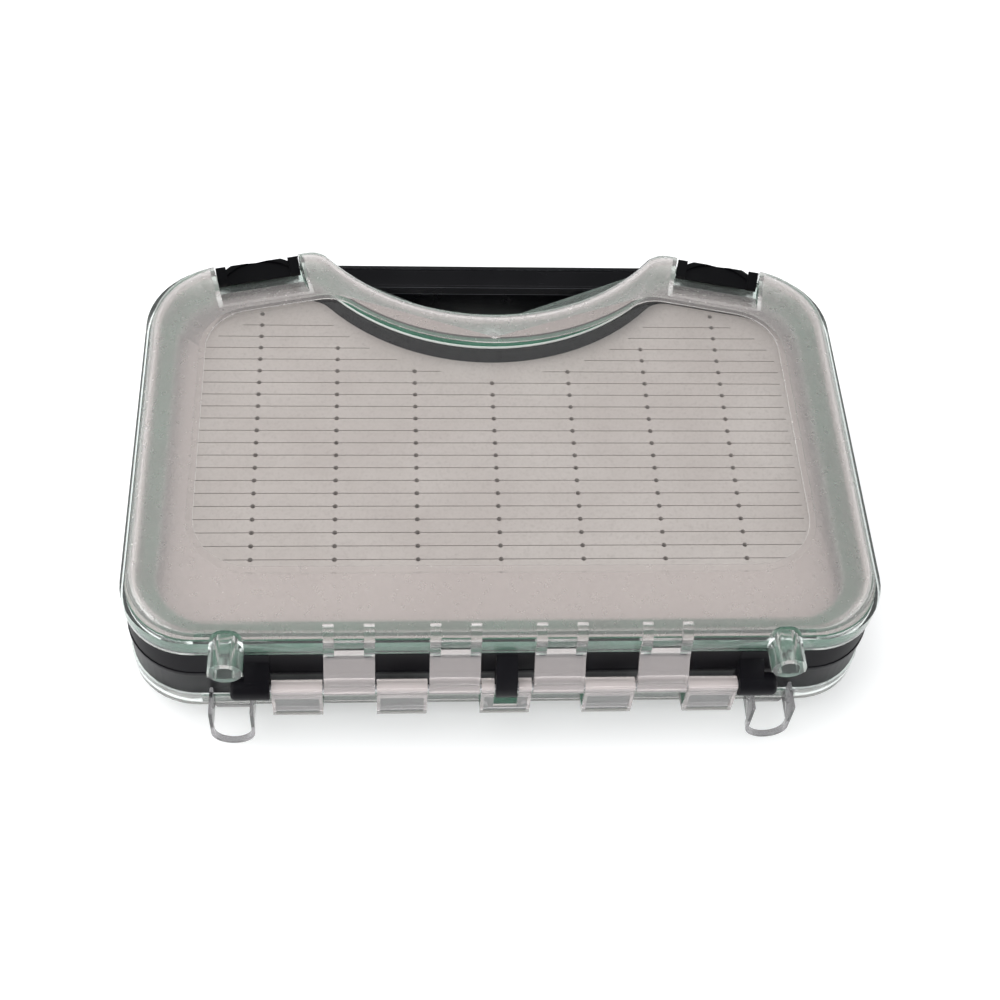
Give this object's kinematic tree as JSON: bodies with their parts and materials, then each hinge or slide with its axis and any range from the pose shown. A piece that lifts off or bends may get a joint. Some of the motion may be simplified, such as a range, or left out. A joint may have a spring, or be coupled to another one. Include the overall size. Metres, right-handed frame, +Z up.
{
  "type": "fly box",
  "caption": "Carrying case for fishing flies: a middle frame with foam on both sides, clear domed lids on one hinge line, draw latches and a grip bar behind a hand notch.",
  "frame": {"origin": "centre of the case's bounding box in plan, at the height of the lower lid's flat face, which it lies on", "axes": "+X along the hinge line, to the right seen from the hinge side; +Y from the hinge side to the handle; +Z up through the upper lid"},
  "size_m": [0.317, 0.2326, 0.073],
  "materials": {
    "clear_plastic": "clear moulded plastic, frosted round the window",
    "frame_plastic": "satin black moulded plastic",
    "handle_plastic": "gloss black moulded plastic",
    "latch_plastic": "semi-gloss black moulded plastic",
    "seal_rubber": "smooth dark green silicone",
    "foam": "closed-cell foam with slits",
    "pin_steel": "drawn steel wire"
  },
  "bodies": {
    "case": {"mid_frame": "frame_plastic", "handle": "handle_plastic", "top_seal": "seal_rubber", "bottom_seal": "seal_rubber", "top_foam": "foam", "bottom_foam": "foam", "hinge_pin": "pin_steel", "latch_pins": "pin_steel"},
    "top_lid": {"top_lid": "clear_plastic"},
    "bottom_lid": {"bottom_lid": "clear_plastic"},
    "top_left_latch": {"top_left_latch": "latch_plastic"},
    "top_right_latch": {"top_right_latch": "latch_plastic"},
    "bottom_left_latch": {"bottom_left_latch": "latch_plastic"},
    "bottom_right_latch": {"bottom_right_latch": "latch_plastic"}
  },
  "joints": [
    {"name": "top_lid_hinge", "type": "hinge", "parent": "case", "child": "top_lid", "pos_m": [0, -0.11005, 0.0365], "axis": [1, 0, 0], "range_deg": [0, 180]},
    {"name": "bottom_lid_hinge", "type": "hinge", "parent": "case", "child": "bottom_lid", "pos_m": [0, -0.11005, 0.0365], "axis": [-1, 0, 0], "range_deg": [0, 180]},
    {"name": "top_left_latch_pivot", "type": "hinge", "parent": "case", "child": "top_left_latch", "pos_m": [-0.10993, 0.10166, 0.0427], "axis": [-0.9759, -0.2181, 0], "range_deg": [0, 80]},
    {"name": "top_right_latch_pivot", "type": "hinge", "parent": "case", "child": "top_right_latch", "pos_m": [0.10993, 0.10166, 0.0427], "axis": [-0.9759, 0.2181, 0], "range_deg": [0, 80]},
    {"name": "bottom_left_latch_pivot", "type": "hinge", "parent": "case", "child": "bottom_left_latch", "pos_m": [-0.10993, 0.10166, 0.0303], "axis": [0.9759, 0.2181, 0], "range_deg": [0, 80]},
    {"name": "bottom_right_latch_pivot", "type": "hinge", "parent": "case", "child": "bottom_right_latch", "pos_m": [0.10993, 0.10166, 0.0303], "axis": [0.9759, -0.2181, 0], "range_deg": [0, 80]}
  ]
}
